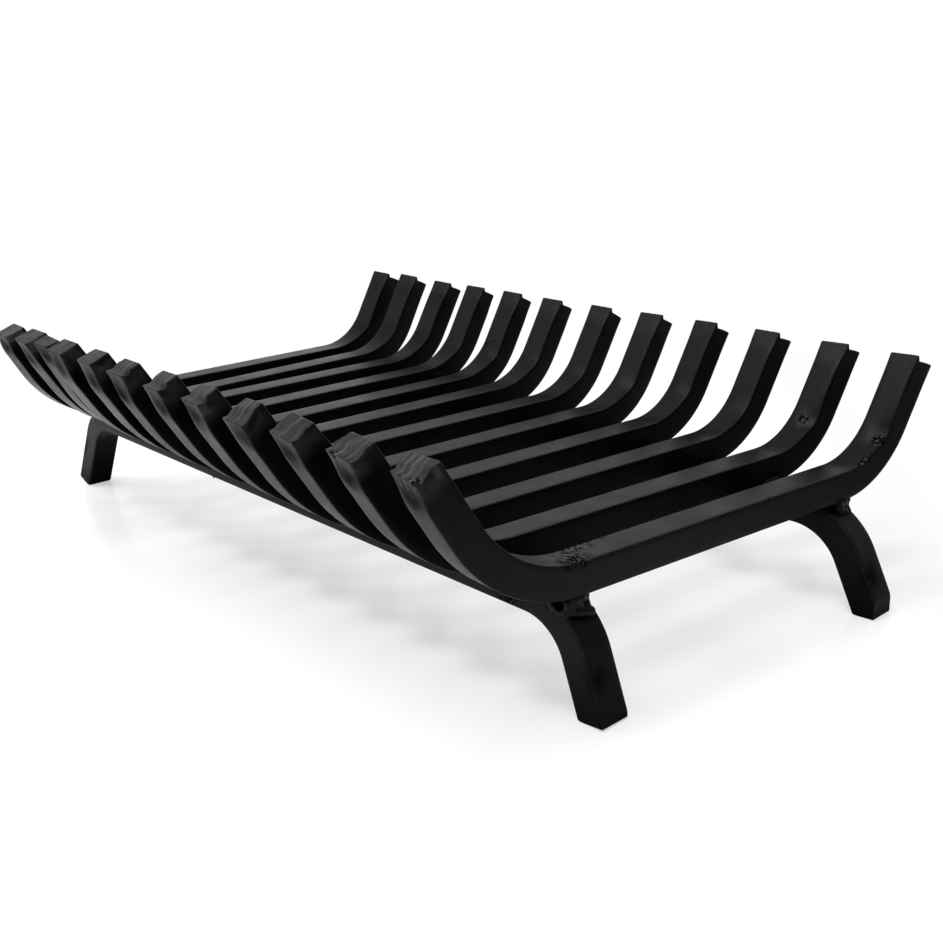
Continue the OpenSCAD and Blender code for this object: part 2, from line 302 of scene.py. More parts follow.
# Satin black paint over steel. The meshes tell it where their edges, tips and smoke are
def blackPaint(name, finish):
    mat, tree, shader = newMaterial(name)
    coords = addNode(tree, "ShaderNodeTexCoord").outputs["Object"]

    def pattern(kind, place=coords):
        return noiseOf(tree, place, **paint[kind])

    def cells(kind, **settings):
        return addNode(tree, "ShaderNodeTexVoronoi", {"Vector": coords, "Scale": paint[kind]},
                       **settings).outputs

    def ranged(value, kind):
        return mapRange(tree, value, *paint[kind])

    def both(a, b):
        return calc(tree, "MULTIPLY", a, b)

    def either(a, b):
        return calc(tree, "MAXIMUM", a, b)

    def coat(share, shade):
        return mixColour(tree, share, colour, grey(paint[shade]))

    mottle, fine, grain, dents = map(pattern, ("mottle", "fine", "grain", "dents"))
    edge, tip, soot = [addNode(tree, "ShaderNodeAttribute", attribute_name=label)
                       .outputs["Fac"] for label in ("edgeWearAndHighlight", "tipZone", "soot")]
    colour = rampOf(tree, mottle, paint["mottleRange"],
                    (grey(finish["deep"]), grey(finish["pale"])))
    # rubbed edges, lighter also as a painted highlight along them, and smudged tips
    smudged = both(tip, ranged(dents, "smudgeRange"))
    colour = coat(both(edge, ranged(fine, "rubAndHighlightRange")), "rubbedAndHighlightGrey")
    colour = coat(smudged, "rubbedAndHighlightGrey")
    # streaks across the cut ends, with a painted highlight lightening them
    stretched = output(tree, "ShaderNodeMapping", {
        "Vector": coords, "Scale": paint["shearStretch"]})
    streaksAndHighlights = both(ranged(pattern("shear", stretched), "shearRange"), ranged(tip, "cutEndRange"))
    colour = coat(streaksAndHighlights, "streakHighlightGrey")
    # chips down to bright metal
    chip = cells("chipScale")
    colour = coat(both(ranged(chip["Distance"], "chipRange"), ranged(chip["Color"], "chipPick")),
                  "bareGrey")
    # scuffs, and the cracks and bare specks of the pressed places
    scuffArea, pressArea = patchMask(tree, coords, scuffs), patchMask(tree, coords, pressMarks)
    crack = cells("crackScale", feature="DISTANCE_TO_EDGE")["Distance"]
    marks = either(both(scuffArea, ranged(pattern("ragged"), "raggedRange")),
                   both(pressArea, ranged(crack, "crackRange")))
    speck = pattern("speck")
    specks = either(both(either(scuffArea, pressArea), ranged(speck, "dotRange")),
                    both(pressArea, ranged(speck, "flakeRange")))
    colour = coat(marks, "scuffGrey")
    colour = coat(both(specks, paint["speckShare"]), "bareGrey")
    feed(tree, shader.inputs["Base Color"], colour)

    # gloss, with painted shade: ambient occlusion darkens the reflection in the gaps between the
    # bars
    dull = either(both(soot, ranged(dents, "smokeRange")), marks)
    rough = calc(tree, "MULTIPLY_ADD", smudged, paint["tipRough"],
                 mapRange(tree, mottle, *paint["mottleRange"], *finish["rough"]))
    feed(tree, shader.inputs["Roughness"], mixNumber(tree, dull, rough, paint["dullRough"]))
    gapShade = addNode(tree, "ShaderNodeAmbientOcclusion", {"Distance": paint["gapShadeReach"]},
                   samples=paint["gapShadeRays"]).outputs["AO"]
    gloss = mapRange(tree, gapShade, *paint["gapShadeRange"], finish["gapShadeGloss"], paint["openGloss"])
    feed(tree, shader.inputs["Specular IOR Level"],
         both(gloss, mapRange(tree, dull, 0.0, 1.0, 1.0, paint["dullGloss"])))
    shader.inputs["IOR"].default_value = paint["ior"]
    shader.inputs["Sheen Weight"].default_value = paint["sheen"]
    shader.inputs["Sheen Roughness"].default_value = paint["sheenRough"]

    # relief
    relief = calc(tree, "MULTIPLY_ADD", fine, paint["fineRelief"], grain)
    for mark, depth in ((dents, "dentRelief"), (marks, "markRelief"),
                        (specks, "speckRelief"), (streaksAndHighlights, "streakRelief")):
        relief = calc(tree, "MULTIPLY_ADD", mark, paint[depth], relief)
    feed(tree, shader.inputs["Normal"], output(tree, "ShaderNodeBump", {
        "Strength": finish["relief"], "Distance": paint["reliefDepth"], "Height": relief}))
    layOut(tree)
    return mat


barPaint, railPaint, weldPaint = [blackPaint(*item) for item in finishes.items()]
print("paints mixed")


# Edges sharper than the limit stay crisp, and the rest is smooth
def markSharp(mesh, degrees):
    work = bmesh.new()
    work.from_mesh(mesh)
    bmesh.ops.recalc_face_normals(work, faces=work.faces)
    for edge in work.edges:
        edge.smooth = edge.is_manifold and edge.calc_face_angle(0.0) < math.radians(degrees)
    for face in work.faces:
        face.smooth = True
    work.to_mesh(mesh)
    work.free()


def finishPiece(obj, node):
    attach(obj, "root")
    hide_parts(node)


def addObject(name, data):
    obj = bpy.data.objects.new(name, data)
    scene.collection.objects.link(obj)
    return obj


# Values that a mesh carries at its points
def addLayer(mesh, label, values, kind="FLOAT", part="value"):
    layer = mesh.attributes.new(label, kind, "POINT")
    for item, value in zip(layer.data, values):
        setattr(item, part, value)


def meshPiece(name, verts, faces, mat, looks, sharp=50.0):
    mesh = bpy.data.meshes.new(name)
    mesh.from_pydata([v[:] for v in verts], [], faces)
    for label, values in looks.items():
        addLayer(mesh, label, values)
    markSharp(mesh, sharp)
    mesh.materials.append(mat)
    return addObject(name, mesh)


# Lines across one side, from -1 to 1, close together in the rounded corners
def gridLines(size, radius, flats=(0.3, 0.62), cornerLine=0.35):
    r = 2 * radius / size
    near, far = flats
    return [-1.0, -1 + cornerLine * r, -1 + r, -far, -near, 0.0, near, far, 1 - r,
            1 - cornerLine * r, 1.0]


# Grid place (p, q) on the edge of the section, pulled in to the rounded corner
def roundedPoint(p, q, width, height, radius):
    x, y = p * width / 2, q * height / 2
    cx, cy = width / 2 - radius, height / 2 - radius
    dx, dy = max(0.0, abs(x) - cx), max(0.0, abs(y) - cy)
    if dx == 0 or dy == 0:
        return x, y
    ax, ay = dx / radius, dy / radius
    angle = math.pi / 4 * ay if ax >= ay else math.pi / 2 - math.pi / 4 * ax
    return (math.copysign(cx + radius * math.cos(angle), x),
            math.copysign(cy + radius * math.sin(angle), y))


def ringIndices(n):  # grid places round the rim of an n by n grid
    ring = [(i, 0) for i in range(n)]
    ring += [(n - 1, j) for j in range(1, n)]
    ring += [(i, n - 1) for i in range(n - 2, -1, -1)]
    ring += [(0, j) for j in range(n - 2, 0, -1)]
    return ring


# Closed skin of square stock: so many rings, and a grid over each end. pointAt(k, p, q)
# gives a ring's point and capPoint(end, p, q) one inside an end. Kinds says of each point
# its ring, its place across and whether it lies on a rounded corner
def loft(count, pointAt, capPoint, lines):
    n = len(lines)
    ring = ringIndices(n)
    atCorner = (0, 1, n - 2, n - 1)
    verts, faces, kinds, rows = [], [], [], []
    for k in range(count):
        rows.append(range(len(verts), len(verts) + len(ring)))
        for i, j in ring:
            verts.append(pointAt(k, lines[i], lines[j]))
            kinds.append((k, lines[i], lines[j], i in atCorner and j in atCorner))
    for a, b in zip(rows, rows[1:]):
        for s in range(len(ring)):
            t = (s + 1) % len(ring)
            faces.append((a[s], a[t], b[t], b[s]))
    for end, row in ((0, rows[0]), (1, rows[-1])):
        grid = dict(zip(ring, row))
        for i in range(1, n - 1):
            for j in range(1, n - 1):
                grid[(i, j)] = len(verts)
                verts.append(capPoint(end, lines[i], lines[j]))
                kinds.append((-1 if end == 0 else count, lines[i], lines[j], False))
        for i in range(n - 1):
            for j in range(n - 1):
                faces.append((grid[(i, j)], grid[(i + 1, j)], grid[(i + 1, j + 1)],
                              grid[(i, j + 1)]))
    return verts, faces, kinds


# Tip corners as sheared: inner left, inner right, outer left and outer right, each with
# its length along the arm and its depth under the inner face
rearTips = {
    1: ((44.6, 0.2), (44.7, 1.6), (44.8, 18.6), (44.4, 18.4)),
    2: ((46.0, 0.8), (46.0, 2.2), (45.6, 18.8), (45.1, 19.0)),
    3: ((44.5, 0.9), (45.0, 2.4), (44.9, 18.6), (44.3, 18.6)),
    4: ((44.6, 0.2), (45.4, 1.6), (45.0, 18.2), (44.3, 17.6)),
    5: ((44.7, 0.1), (45.2, 1.8), (44.7, 18.4), (44.0, 18.0)),
    6: ((44.0, 0.0), (44.6, 1.6), (44.6, 18.5), (43.8, 18.2)),
    7: ((44.3, 0.0), (45.0, 1.6), (43.8, 18.6), (43.0, 18.6)),
    8: ((44.5, 0.0), (46.0, 2.0), (45.6, 18.5), (45.0, 18.4)),
    9: ((45.2, 0.0), (45.9, 1.0), (45.6, 18.8), (45.0, 18.8)),
    10: ((45.4, 0.0), (46.0, 2.0), (46.0, 18.8), (46.0, 18.9)),
    11: ((44.3, 0.0), (45.8, 2.4), (45.8, 18.6), (45.9, 18.6)),
    12: ((43.8, 0.0), (44.7, 0.2), (45.2, 18.6), (45.0, 18.8)),
}
frontTips = {
    1: ((35.3, 0.0), (34.8, 0.7), (37.6, 16.2), (37.4, 16.4)),
    2: ((43.6, 0.6), (42.3, 0.5), (47.0, 16.0), (46.6, 18.2)),
    3: ((40.7, 6.5), (38.3, 6.2), (41.7, 17.9), (41.0, 17.0)),
    4: ((43.1, 0.4), (42.0, 0.0), (45.6, 15.0), (44.4, 15.0)),
    5: ((42.6, 0.0), (42.8, 0.0), (45.6, 14.8), (45.1, 15.2)),
    6: ((42.9, 0.2), (42.3, 0.0), (45.4, 15.2), (44.2, 14.9)),
    7: ((42.7, 0.0), (43.1, 0.0), (44.5, 16.2), (44.2, 16.0)),
    8: ((41.9, 0.0), (43.1, 0.2), (44.9, 15.7), (44.0, 16.0)),
    9: ((41.2, 0.0), (42.3, 0.0), (42.5, 17.7), (42.0, 17.4)),
    10: ((43.6, 0.9), (41.0, 1.3), (45.6, 17.4), (43.6, 17.2)),
    11: ((41.2, 0.0), (39.6, 0.0), (44.8, 16.4), (42.2, 16.4)),
    12: ((43.5, 2.0), (41.3, 0.0), (44.8, 16.0), (42.9, 16.4)),
}
barLook = {
    "edge": 0.8, "endEdge": 0.55,  # rounding along the bar and round its ends
    "twist": 5.0, "lastTwisted": 8,  # degrees, on the rear arms of the first bars
    "spread": {"front": 0.0, "rear": 0.035}, "spreadFrom": 0.3,  # wider tips
    "flatRings": 14, "bendRings": 22, "tipStart": 0.5,  # the tip's own shape starts here
    "armRings": [0.0, 0.15, 0.3, 0.42],
    "tipRings": [0.0, 0.12, 0.24, 0.36, 0.48, 0.6, 0.7, 0.8, 0.88, 0.94, 0.975, 1.0],
    # smoke on the outer side of the front arms, in mm under the tip and shares across
    "smoke": {"down": 11.0, "sway": 2.0, "length": 7.5, "width": 0.85, "aside": 0.25},
    # where the paint thins towards a tip, and how faintly the rear and inner faces show it
    "tipWear": (0.62, 0.86), "faintWear": 0.35,
}
tipStart = barLook["tipStart"]
# What the bending tool left on the inner face of the rear bends, in mm from the bed
press = {"middle": 41.0, "sway": 3.0, "length": 9.0, "depth": 1.2, "vary": 0.4,
         "deepFrom": 11, "deepest": 2.2, "side": (0.35, 1.0), "inner": (0.5, 0.0)}
# How the shear left the ends, in mm, with places from 0 to 1 over an end. The first front
# tips are creased, the next ones notched and the last ones stepped
shear = {
    "rear": {"dip": 1.0, "across": 0.9, "deepFrom": 9, "deeper": 0.5, "depth": 1.5,
             "rise": (0.07, 0.15), "fall": 1.25, "rough": 0.12, "grain": 5.0, "seed": 3.1},
    "streak": {"high": 0.22, "side": 1.2, "slant": 2.0, "fine": 9.0, "seed": 5.7},
    "creased": {"last": 5, "depth": 0.5, "at": 0.55, "slope": 0.18, "width": 0.05,
                "left": 0.4, "streak": 0.6},
    "notched": {"last": 8, "step": 1.5, "slope": 0.06, "rise": (0.5, 0.58), "fall": (1.1, 0.72),
                "notch": 1.4, "side": (0.72, 0.9), "at": 0.68, "width": 0.1},
    "stepped": {"step": 1.3, "at": 0.36, "slope": 0.28, "rise": (0.0, 0.07), "fall": (1.15, 0.8),
                "ridge": 0.25, "ridgeOff": 0.02, "width": 0.045,
                "torn": 1.0, "side": (0.7, 0.98), "outer": (0.55, 0.8), "streak": 1.5},
}


def hump(x, width):  # a soft hump round 0
    return math.exp(-(x / width) ** 2)


def wobble(i, step):  # from -1 to 1, another one for each bar
    return math.sin(i * step)


# Height of a sheared end. u runs from left to right and v from the inner face to the
# outer one, both from 0 to 1
def tipProfile(end, i, u, v):
    if end == "rear":
        look = shear["rear"]
        dip = look["dip"] + look["across"] * u + (look["deeper"] if i >= look["deepFrom"] else 0)
        bowl = smooth(*look["rise"], v) * (1 - v) ** look["fall"]
        rough = noise.noise(Vector((u * look["grain"], v * look["grain"], i * look["seed"])))
        return -dip * look["depth"] * bowl + look["rough"] * rough
    look = shear["streak"]
    streak = look["high"] * noise.noise(
        Vector((u * look["side"] + v * look["slant"], v * look["fine"], i * look["seed"])))
    if i <= shear["creased"]["last"]:
        look = shear["creased"]
        crease = look["depth"] * hump(v - look["at"] - look["slope"] * (u - 0.5), look["width"])
        return streak * look["streak"] - crease * (look["left"] + (1 - look["left"]) * u)
    if i <= shear["notched"]["last"]:
        look = shear["notched"]
        step = smooth(*look["rise"], v - look["slope"] * (u - 0.5)) * smooth(*look["fall"], v)
        notch = smooth(*look["side"], u) * hump(v - look["at"], look["width"])
        return streak - look["step"] * step - look["notch"] * notch
    look = shear["stepped"]
    slant = v - look["at"] - look["slope"] * (1 - u)
    step = smooth(*look["rise"], slant) * smooth(*look["fall"], v)
    ridge = look["ridge"] * hump(slant + look["ridgeOff"], look["width"])
    torn = smooth(*look["side"], u) * smooth(*look["outer"], v)
    return ridge - look["step"] * step - look["torn"] * torn + look["streak"] * streak


# How far the bending tool pressed the inner face of a rear bend in
def pressed(i, kind, value, u, v):
    bend = math.radians(bars["rear"]["angle"]) * bars["rear"]["radius"]
    along = {"flat": (value - 1) * halfBed, "bend": value * bend,
             "arm": bend + value * bars["rear"]["arm"]}[kind]
    middle = press["middle"] + press["sway"] * wobble(i, 2.3)
    depth = press["depth"] + press["vary"] * wobble(i, 1.7)
    if i >= press["deepFrom"]:
        depth = press["deepest"]
    return (depth * hump(along - middle, press["length"]) * smooth(*press["side"], u)
            * smooth(*press["inner"], v))


# Length of a tip at (u, v) and its inner and outer depth there, mixed from its corners
def cornerMix(corners, u, v):
    shares = ((1 - u) * (1 - v), u * (1 - v), (1 - u) * v, u * v)
    length = sum(share * along for share, (along, depth) in zip(shares, corners))
    innerLeft, innerRight, outerLeft, outerRight = [depth for along, depth in corners]
    return (length, (1 - u) * innerLeft + u * innerRight,
            (1 - u) * outerLeft + u * outerRight)


# Point of bar i: side u and depth n under the inner face, in mm. Value is a share of the
# flat or the bend, or mm along the arm
def inBar(i, endName, kind, value, u, n):
    end = bendOf(i, endName)
    angle = math.radians(end["angle"])
    if endName == "rear" and kind != "flat" and i <= barLook["lastTwisted"]:
        share = smooth(0, 1, value) if kind == "bend" else 1
        twist = math.radians(barLook["twist"]) * share
        u, n = (u * math.cos(twist) - (n - halfStock) * math.sin(twist),
                halfStock + u * math.sin(twist) + (n - halfStock) * math.cos(twist))
    if kind == "flat":
        y, z = value * halfBed, -n
    else:
        a, along = (value * angle, 0.0) if kind == "bend" else (angle, value)
        y = halfBed + (end["radius"] + n) * math.sin(a) + along * math.cos(a)
        z = end["radius"] - (end["radius"] + n) * math.cos(a) + along * math.sin(a)
    if endName == "front":
        y = -y
    turn = math.radians(barTurn(i))
    return fromBed(barX(i) + u * math.cos(turn) - y * math.sin(turn),
                   u * math.sin(turn) + y * math.cos(turn), z)


# Point near a sheared end. f runs from 0, where the tip's own shape starts, to 1
def tipPoint(i, endName, f, p, q, across, depth):
    u, v = (p + 1) / 2, (1 - q) / 2
    corners = rearTips[i] if endName == "rear" else frontTips[i]
    length, inner, outer = cornerMix(corners, u, v)
    length += tipProfile(endName, i, u, v)
    start = tipStart * bars[endName]["arm"]
    share = min(1.0, max(0.0, depth / stock))
    n = depth + (inner + (outer - inner) * share - depth) * smooth(0.0, 1.0, f)
    spread = barLook["spread"][endName] * smooth(barLook["spreadFrom"], 1.0, f)
    return inBar(i, endName, "arm", start + (length - start) * f, across * (1.0 + spread), n)


def withinCad(v):  # the rear tips end where the construction's own tips end
    v.y = min(v.y, cadHigh.y)
    return v


def barStations():  # end, part and place of each ring, from the front tip to the rear tip
    flats, bends = barLook["flatRings"], barLook["bendRings"]
    half = [("flat", k / flats) for k in range(1, flats + 1)]
    half += [("bend", k / bends) for k in range(1, bends)]
    half += [("arm", f) for f in barLook["armRings"]]
    half += [("arm", tipStart + (1 - tipStart) * t) for t in barLook["tipRings"]]
    return ([("front", *s) for s in reversed(half)] + [("rear", "flat", 0.0)]
            + [("rear", *s) for s in half])


def makeBar(i):
    stations = barStations()
    last = len(stations) - 1
    pullIn = 1 - barLook["endEdge"] / halfStock

    def pointAt(k, p, q):
        endName, kind, value = stations[k]
        x, y = roundedPoint(p, q, stock, stock, barLook["edge"])
        if k in (0, last):
            x, y = x * pullIn, y * pullIn
        n = halfStock - y
        if endName == "rear":
            n += pressed(i, kind, value, x / stock + 0.5, n / stock)
        if kind == "arm" and value >= tipStart:
            f = (value - tipStart) / (1 - tipStart)
            return withinCad(toRow(tipPoint(i, endName, f, p, q, x, n)))
        if kind == "arm":
            value *= bars[endName]["arm"]
        return withinCad(toRow(inBar(i, endName, kind, value, x, n)))

    def capPoint(end, p, q):
        endName = "front" if end == 0 else "rear"
        x, y = p * halfStock * pullIn, q * halfStock * pullIn
        return withinCad(toRow(tipPoint(i, endName, 1.0, p, q, x, halfStock - y)))

    # q is -1 on the outer face and 1 on the inner one
    def smokeAt(k, p, q):
        if not 0 <= k <= last or stations[k][:2] != ("front", "arm") or q >= -0.5:
            return 0.0
        smoke = barLook["smoke"]
        below = (1 - stations[k][2]) * bars["front"]["arm"] - smoke["down"]
        return (hump(below - smoke["sway"] * wobble(i, 1.3), smoke["length"])
                * hump(p - smoke["aside"] * wobble(i, 2.9), smoke["width"]))

    def tipAt(k, q):
        value = 1.0
        if 0 < k < last:
            endName, kind, f = stations[k]
            value = smooth(*barLook["tipWear"], f) if kind == "arm" else 0.0
            if endName == "rear" or q > 0.9:
                value *= barLook["faintWear"]
        return value

    verts, faces, kinds = loft(len(stations), pointAt, capPoint,
                               gridLines(stock, barLook["edge"]))
    # the rounded edges and the end rims get rubbed paint and a painted highlight
    looks = {"edgeWearAndHighlight": [float(corner or k in (0, last)) for k, p, q, corner in kinds],
             "tipZone": [tipAt(k, q) for k, p, q, corner in kinds],
             "soot": [smokeAt(k, p, q) for k, p, q, corner in kinds]}
    return meshPiece(f"grate_bar_{i:02d}_steel", verts, faces, barPaint, looks)


for i in range(1, bars["count"] + 1):
    finishPiece(makeBar(i), f"grate_bar_{i:02d}")
print("bars made")


# A drop of paint that ran and dried: how far down each ring is, and its radius
drip = {"place": (-67.6, -106.6, 59.2), "sides": 10, "slant": 0.3,
        "rings": [(0.0, 1.5), (0.9, 1.4), (1.6, 1.0), (2.4, 0.75), (3.2, 0.6), (4.0, 0.55),
                  (4.5, 0.42), (4.8, 0.2)]}


def railFace(which):  # place of a rail's front face in the bed's y
    if which == "front":
        return -halfBed + rails["front"]["inset"]
    return halfBed - rails["rear"]["inset"] - rails["depth"]


def addDrip(verts, faces):
    x, y, top = drip["place"]
    start, sides = len(verts), drip["sides"]
    for down, radius in drip["rings"]:
        for k in range(sides):
            a = 2 * math.pi * k / sides
            verts.append(Vector((x + drip["slant"] * down + radius * math.cos(a),
                                 y + radius * math.sin(a), top - down)) * mm)
    lastRing = start + (len(drip["rings"]) - 1) * sides
    for ring in range(start, lastRing, sides):
        for k in range(sides):
            a, b = ring + k, ring + (k + 1) % sides
            faces.append((a, a + sides, b + sides, b))
    faces.append(tuple(range(start, start + sides)))
    faces.append(tuple(reversed(range(lastRing, lastRing + sides))))


# How long a leg is from (x, z), along its splay, until it meets the floor or the risen
# outer edge of its foot
def legLength(leg, side, x, z, tries=8):
    steep = leg["splay"] - side * lean
    length = 0.0
    for _ in range(tries):
        p = fromBed(x + side * math.sin(leg["splay"]) * length, 0,
                    z - math.cos(leg["splay"]) * length)
        beyond = side * (p.x - leg["toe"]) - rails["toeFlat"]
        cut = max(0.0, beyond) * math.tan(leg["rise"])
        rise = math.tan(leg["rise"]) if beyond > 0 else 0
        length += (p.z - cut) / (math.cos(steep) + math.sin(steep) * rise)
    return length


def railStations():  # side, part and place of each ring, from the left foot to the right
    bends, across = rails["bendRings"], rails["railRings"]
    half = [("leg", f) for f in rails["legRings"]]
    half += [("bend", k / bends) for k in range(bends - 1, 0, -1)]
    return ([(-1, *s) for s in half] + [(0, "rail", k / across) for k in range(across + 1)]
            + [(1, *s) for s in reversed(half)])


# A rail and its two legs, bent from one bar
def makeRail(which):
    thick, depth, pull = rails["stock"], rails["depth"], rails["endEdge"]
    middle = railFace(which) + depth / 2
    legs = {side: legData(rails[which], side) for side in (-1, 1)}
    stations = railStations()
    last = len(stations) - 1

    # place in the bed's x and z at depth n under the rail's top
    def outline(side, kind, value, n):
        if kind == "rail":
            start, end = legs[-1]["bend"], legs[1]["bend"]
            return start + (end - start) * value, -stock - n
        leg = legs[side]
        r = leg["radius"] + thick - n
        cx, cz = leg["bend"], railUnder - leg["radius"]
        if kind == "bend":
            a = value * (math.pi / 2 - leg["splay"])
            return cx + side * r * math.sin(a), cz + r * math.cos(a)
        x, z = cx + side * r * math.cos(leg["splay"]), cz + r * math.sin(leg["splay"])
        length = legLength(leg, side, x, z) * value
        return x + side * math.sin(leg["splay"]) * length, z - math.cos(leg["splay"]) * length

    def place(k, across, n):
        side, kind, value = stations[k]
        x, z = outline(side, kind, value, n)
        v = fromBed(x, middle + across, z)
        if kind == "leg":  # the right feet are cut upright at their outer side
            v.x -= side * max(0.0, side * (v.x - legs[side]["toe"]) - legs[side]["trim"])
        return toRow(v)

    def pointAt(k, p, q):
        x, y = roundedPoint(p, q, depth, thick, rails["edge"])
        if k in (0, last):
            x, y = x * (1 - pull / (depth / 2)), y * (1 - pull / (thick / 2))
        return place(k, x, thick / 2 - y)

    def capPoint(end, p, q):
        return place(last * end, p * (depth / 2 - pull), thick / 2 - q * (thick / 2 - pull))

    def smokeAt(k, p, q):
        if not 0 <= k <= last or stations[k][1] != "leg" or q <= 0.5:
            return 0.0
        smoke = rails["smoke"]
        return (smoke["most"] * hump(stations[k][2] - smoke["down"], smoke["length"])
                * hump(p - smoke["across"], smoke["width"]))

    verts, faces, kinds = loft(len(stations), pointAt, capPoint, gridLines(depth, rails["edge"]))
    # the rounded edges and the end rims get rubbed paint and a painted highlight
    looks = {"edgeWearAndHighlight": [float(corner or k in (0, last)) for k, p, q, corner in kinds],
             "tipZone": [float(not 0 <= k <= last) for k, p, q, corner in kinds],
             "soot": [smokeAt(k, p, q) for k, p, q, corner in kinds]}
    if which == "front":
        addDrip(verts, faces)
        for values in looks.values():
            values += [0.0] * (len(verts) - len(values))
    return meshPiece(f"{which}_leg_rail_steel", verts, faces, railPaint, looks)


for which in ("front", "rear"):
    finishPiece(makeRail(which), which + "_leg_rail")
print("rails made")


# Fillet beads in the corners between the rails' tops and the bars' sides
beads = {
    "leg": 4.0, "margin": 1.5, "steps": 36, "sides": 9, "sink": 0.4,
    "ripples": 6, "ripple": 0.07, "taper": 5, "leastTaper": 0.02, "belly": 0.26, "bellyFall": 0.8,
    "lumpScale": 260.0, "lumpDetail": 3.0, "lump": 0.0011, "seed": {"front": 3.0, "rear": 8.0},
    # no two beads are alike: size along x, y and z, and how much of the chance each takes
    "chance": {"front": 2.0, "rear": 9.0}, "size": (0.92, 0.96, 0.9), "vary": (0.25, 0.06, -0.3),
    "sharp": 60.0,
}


# One convex bead along y, from the rail at z 0 to the bar at x 0
def unitBead():
    verts, faces = [], []
    steps, ring = beads["steps"], beads["sides"] + 1
    length = rails["depth"] - 2 * beads["margin"]
    for k in range(steps + 1):
        t = k / steps
        taper = math.sqrt(max(beads["leastTaper"], 1 - abs(2 * t - 1) ** beads["taper"]))
        ripple = 1.0 + beads["ripple"] * abs(math.sin(math.pi * beads["ripples"] * t))
        for j in range(beads["sides"]):
            a = math.pi / 2 * j / (beads["sides"] - 1)
            arc = 1 - beads["belly"] + beads["belly"] * abs(math.cos(2 * a)) ** beads["bellyFall"]
            r = beads["leg"] * taper * ripple * arc
            verts.append((r * math.cos(a), (t - 0.5) * length, r * math.sin(a)))
        verts.append((-beads["sink"], (t - 0.5) * length, -beads["sink"]))
    for k in range(steps):
        for j in range(ring):
            a, b = k * ring + j, k * ring + (j + 1) % ring
            faces.append((a, b, b + ring, a + ring))
    faces.append(tuple(range(ring)))
    faces.append(tuple(range(steps * ring, (steps + 1) * ring)))
    mesh = bpy.data.meshes.new("bead_unit")
    mesh.from_pydata([Vector(v) * mm for v in verts], [], faces)
    return addObject("bead_unit", mesh)


# Beads on points, turned with their bars, made lumpy and given their paint
def beadTree():
    tree = bpy.data.node_groups.new("weld_beads", "GeometryNodeTree")
    for label, kind in (("Geometry", "Geometry"), ("Bead", "Object"), ("Roughness", "Float"),
                        ("Seed", "Float"), ("Paint", "Material")):
        tree.interface.new_socket(label, in_out="INPUT", socket_type="NodeSocket" + kind)
    tree.interface.new_socket("Geometry", in_out="OUTPUT", socket_type="NodeSocketGeometry")
    given = addNode(tree, "NodeGroupInput").outputs
    bead = addNode(tree, "GeometryNodeObjectInfo", {"Object": given["Bead"]}).outputs["Geometry"]
    turn, size = [addNode(tree, "GeometryNodeInputNamedAttribute", {"Name": label},
                          data_type="FLOAT_VECTOR").outputs["Attribute"]
                  for label in ("beadTurn", "beadSize")]
    placed = output(tree, "GeometryNodeInstanceOnPoints", {
        "Points": given["Geometry"], "Instance": bead, "Rotation": turn, "Scale": size})
    real = output(tree, "GeometryNodeRealizeInstances", {"Geometry": placed})
    lumps = output(tree, "ShaderNodeTexNoise", {
        "Scale": beads["lumpScale"], "Detail": beads["lumpDetail"], "W": given["Seed"]},
        noise_dimensions="4D")
    amount = calc(tree, "MULTIPLY", calc(tree, "SUBTRACT", lumps, 0.5), given["Roughness"])
    push = output(tree, "ShaderNodeVectorMath", {
        0: output(tree, "GeometryNodeInputNormal"), "Scale": amount}, operation="SCALE")
    moved = output(tree, "GeometryNodeSetPosition", {"Geometry": real, "Offset": push})
    coated = output(tree, "GeometryNodeSetMaterial", {
        "Geometry": moved, "Material": given["Paint"]})
    addNode(tree, "NodeGroupOutput", {"Geometry": coated})
    layOut(tree)
    return tree


# The object with its modifiers applied, as a plain mesh object
def bake(obj, name):
    depsgraph = bpy.context.evaluated_depsgraph_get()
    mesh = bpy.data.meshes.new_from_object(obj.evaluated_get(depsgraph))
    mesh.name = name
    bpy.data.objects.remove(obj)
    return addObject(name, mesh)


# Beads along both sides of every bar but the last, on one rail
def makeBeads(which, tree, unit):
    y = railFace(which) + rails["depth"] / 2
    points, turns, sizes = [], [], []
    for i in range(1, bars["count"]):
        turn = math.radians(barTurn(i))
        for side in (-1, 1):
            u = side * halfStock
            points.append(toRow(fromBed(barX(i) + u * math.cos(turn) - y * math.sin(turn),
                                        u * math.sin(turn) + y * math.cos(turn), -stock)))
            turns.append((0.0, side * lean, turn + (math.pi if side < 0 else 0.0)))
            chance = noise.noise(Vector((i * 1.7, side * 3.1, beads["chance"][which])))
            sizes.append(Vector(beads["size"]) + Vector(beads["vary"]) * chance)
    mesh = bpy.data.meshes.new(which + "_bead_points")
    mesh.from_pydata(points, [], [])
    addLayer(mesh, "beadTurn", turns, "FLOAT_VECTOR", "vector")
    addLayer(mesh, "beadSize", sizes, "FLOAT_VECTOR", "vector")
    holder = addObject(which + "_bead_points", mesh)
    modifier = holder.modifiers.new("beads", "NODES")
    modifier.node_group = tree
    settings = {"Bead": unit, "Roughness": beads["lump"], "Seed": beads["seed"][which],
                "Paint": weldPaint}
    for item in tree.interface.items_tree:
        if item.in_out == "INPUT" and item.name in settings:
            modifier[item.identifier] = settings[item.name]
    obj = bake(holder, which + "_rail_weld_beads")
    markSharp(obj.data, beads["sharp"])
    return obj


unit, tree = unitBead(), beadTree()
for which in ("front", "rear"):
    finishPiece(makeBeads(which, tree, unit), which + "_rail_beads")
bpy.data.objects.remove(unit)
print("beads made")


